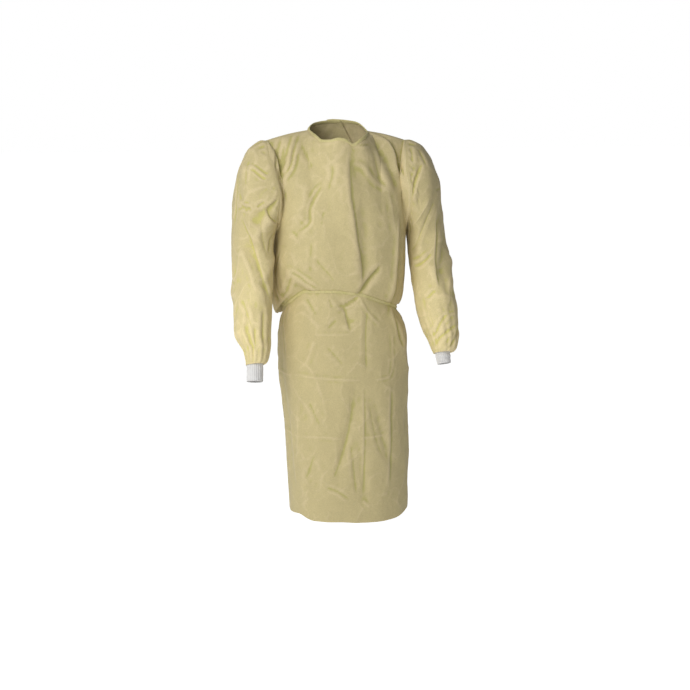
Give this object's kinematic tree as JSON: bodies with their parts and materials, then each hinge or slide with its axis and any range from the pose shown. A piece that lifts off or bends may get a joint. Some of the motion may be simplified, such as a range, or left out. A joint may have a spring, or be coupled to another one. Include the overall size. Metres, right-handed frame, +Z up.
{
  "type": "isolation gown",
  "caption": "Yellow nonwoven isolation gown as worn: open back with a lap, full sleeves gathered into knitted cuffs, neck binding and a waist tie.",
  "frame": {"origin": "middle of the shoulder line, where the wearer holds the gown up", "axes": "+Z up along the body, -Y the way the wearer faces, +X the wearer's left"},
  "size_m": [0.6503, 0.3431, 1.1556],
  "materials": {
    "gown_cloth": "matt pale yellow nonwoven",
    "tape": "matt yellow nonwoven tape",
    "knit": "white rib knit"
  },
  "bodies": {
    "root": {"front": "gown_cloth", "back_left": "gown_cloth", "back_right": "gown_cloth", "sleeve_left": "gown_cloth", "sleeve_right": "gown_cloth", "cuff_left": "knit", "cuff_right": "knit", "neck_binding": "tape", "neck_tie": "tape", "waist_tie": "tape", "waist_knot": "tape"}
  },
  "joints": []
}
